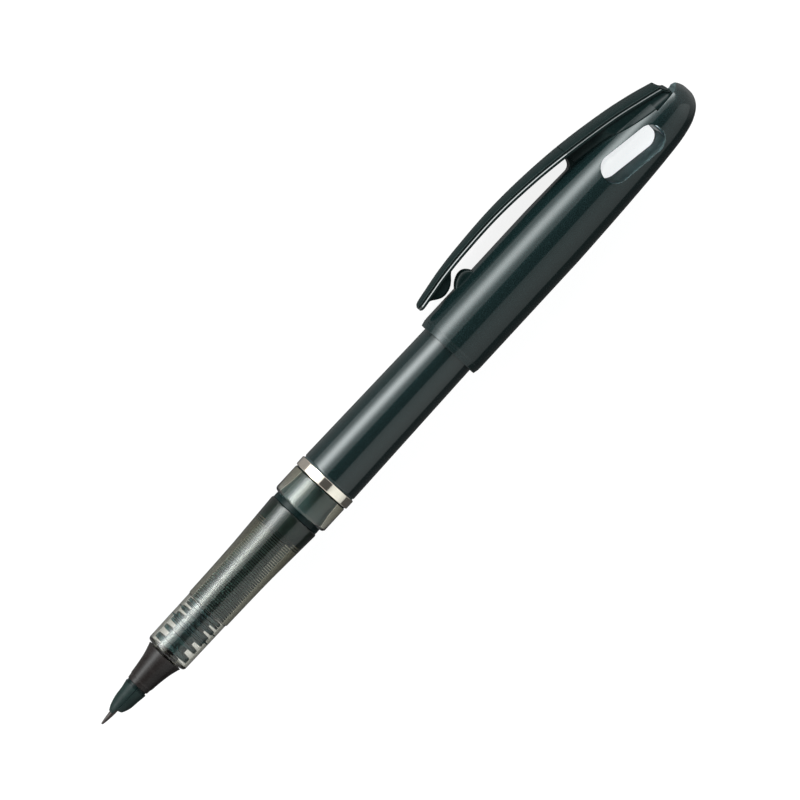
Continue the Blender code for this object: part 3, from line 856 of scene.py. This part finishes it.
def build_camera():
    """A long lens that looks square on to the pen."""
    right = math.cos(PEN_SLOPE) * ALONG - math.sin(PEN_SLOPE) * ACROSS
    up = math.sin(PEN_SLOPE) * ALONG + math.cos(PEN_SLOPE) * ACROSS
    target = Vector((MIDDLE_X, AXIS.y, AXIS.z)) + ALONG * AIM_ALONG + ACROSS * AIM_ACROSS
    data = bpy.data.cameras.new("camera")
    data.sensor_width = 36
    data.lens = data.sensor_width * DISTANCE / FIELD
    data.clip_start, data.clip_end = 0.01, 20
    camera = bpy.data.objects.new("camera", data)
    bpy.context.scene.collection.objects.link(camera)
    turn = Matrix((right, up, TO_CAMERA)).transposed().to_4x4()
    camera.matrix_world = Matrix.Translation(target + TO_CAMERA * DISTANCE) @ turn
    bpy.context.scene.camera = camera


def softbox(name, angle, half_angle, distance, length, edge, peak, spread, centre, colour):
    """A long soft light beside the pen, brightest along one line.

    The angle, in degrees, is from the camera towards the clip. The half angle is half the light's width
    as seen from the pen.
    """
    facing = TO_CAMERA * math.cos(math.radians(angle)) + ACROSS * math.sin(math.radians(angle))
    data = bpy.data.lights.new(name, "AREA")
    data.shape = "RECTANGLE"
    data.size = length
    data.size_y = 2 * distance * math.tan(math.radians(half_angle))
    data.energy = math.pi * data.size * data.size_y
    data.color = colour
    light = bpy.data.objects.new(name, data)
    bpy.context.scene.collection.objects.link(light)
    turn = Matrix((ALONG, facing.cross(ALONG), facing)).transposed().to_4x4()
    light.matrix_world = Matrix.Translation(Vector((MIDDLE_X, AXIS.y, AXIS.z)) + facing * distance) @ turn
    light.visible_camera = False
    data.use_nodes = True
    tree = data.node_tree
    apart = tree.nodes.new("ShaderNodeSeparateXYZ")
    tree.links.new(tree.nodes.new("ShaderNodeNewGeometry").outputs["Parametric"], apart.inputs[0])

    def maths(operation, first, *numbers):
        made = tree.nodes.new("ShaderNodeMath")
        made.operation = operation
        tree.links.new(first, made.inputs[0])
        for i, number in enumerate(numbers):
            if isinstance(number, (int, float)):
                made.inputs[i + 1].default_value = number
            else:
                tree.links.new(number, made.inputs[i + 1])
        return made.outputs[0]

    middle = maths("SUBTRACT", apart.outputs["Y"], centre)
    scaled = maths("MULTIPLY", middle, 2 / spread)
    squared = maths("MULTIPLY", scaled, scaled)
    bell = maths("EXPONENT", maths("MULTIPLY", squared, -1.0))
    glow = maths("MULTIPLY_ADD", bell, peak - edge, edge)
    shine = [n for n in tree.nodes if n.type == "EMISSION"][0]
    tree.links.new(glow, shine.inputs["Strength"])


def build_floor():
    """A pale sheet that glows evenly, and more faintly where a glossy surface shows it."""
    bm = bmesh.new()
    bmesh.ops.create_grid(bm, x_segments=8, y_segments=8, size=2.0)
    mesh = bpy.data.meshes.new("floor")
    bm.to_mesh(mesh)
    bm.free()
    look = Look("floor_paper", (0.2, 0.2, 0.2), 0.9, Specular_IOR_Level=0.1)
    look.shader.inputs["Emission Color"].default_value = (1, 1, 1, 1)
    shine = look.node("ShaderNodeLightPath").outputs["Glossy Depth"]
    look.link(look.fit(shine, FLOOR_GLOW, FLOOR_GLOW_IN_GLOSS, 0, 1), look.shader.inputs["Emission Strength"])
    look.tint(look.fit(look.noise(0.02), 0, 1), (0.19, 0.19, 0.19), (0.21, 0.21, 0.21))
    mesh.materials.append(look.material)
    floor = bpy.data.objects.new("floor", mesh)
    bpy.context.scene.collection.objects.link(floor)
    floor.visible_glossy = False


def build_world():
    """Pale all round to the camera. In reflections it is dim beside the pen and lighter off its ends."""
    world = bpy.data.worlds.new("studio")
    bpy.context.scene.world = world
    world.use_nodes = True
    tree = world.node_tree
    background = tree.nodes["Background"]
    apart = tree.nodes.new("ShaderNodeSeparateXYZ")
    tree.links.new(tree.nodes.new("ShaderNodeTexCoord").outputs["Generated"], apart.inputs[0])
    fade = tree.nodes.new("ShaderNodeMapRange")
    for key, value in (("From Min", 0.7), ("From Max", 1.25), ("To Min", 0.08), ("To Max", 0.34)):
        fade.inputs[key].default_value = value
    lean = tree.nodes.new("ShaderNodeMath")
    lean.operation = "SUBTRACT"
    tree.links.new(apart.outputs["Y"], lean.inputs[0])
    tree.links.new(apart.outputs["Z"], lean.inputs[1])
    tree.links.new(lean.outputs[0], fade.inputs["Value"])
    pick = tree.nodes.new("ShaderNodeMix")
    tree.links.new(tree.nodes.new("ShaderNodeLightPath").outputs["Is Camera Ray"], pick.inputs["Factor"])
    ends = tree.nodes.new("ShaderNodeMath")
    ends.operation = "ABSOLUTE"
    tree.links.new(apart.outputs["X"], ends.inputs[0])
    rise = tree.nodes.new("ShaderNodeMapRange")
    for key, value in (("From Min", 0.35), ("From Max", 0.9), ("To Min", 0.0), ("To Max", 0.9)):
        rise.inputs[key].default_value = value
    tree.links.new(ends.outputs[0], rise.inputs["Value"])
    both = tree.nodes.new("ShaderNodeMath")
    tree.links.new(fade.outputs["Result"], both.inputs[0])
    tree.links.new(rise.outputs["Result"], both.inputs[1])
    tree.links.new(both.outputs[0], pick.inputs["A"])
    pick.inputs["B"].default_value = SKY_SEEN
    tree.links.new(pick.outputs["Result"], background.inputs["Strength"])
    background.inputs["Color"].default_value = (1, 1, 1, 1)


build_camera()
softbox("clip_side_light", 48.5, 36.5, 0.55, 1.8, 1.2, 11.0, 0.38, 0.5, (0.96, 1.0, 1.0))
softbox("other_side_light", -62.5, 36.5, 0.6, 1.8, 0.45, 0.98, 1.0, 0.58, (0.94, 1.0, 0.99))
build_floor()
build_world()
bpy.context.scene.view_settings.view_transform = "Standard"
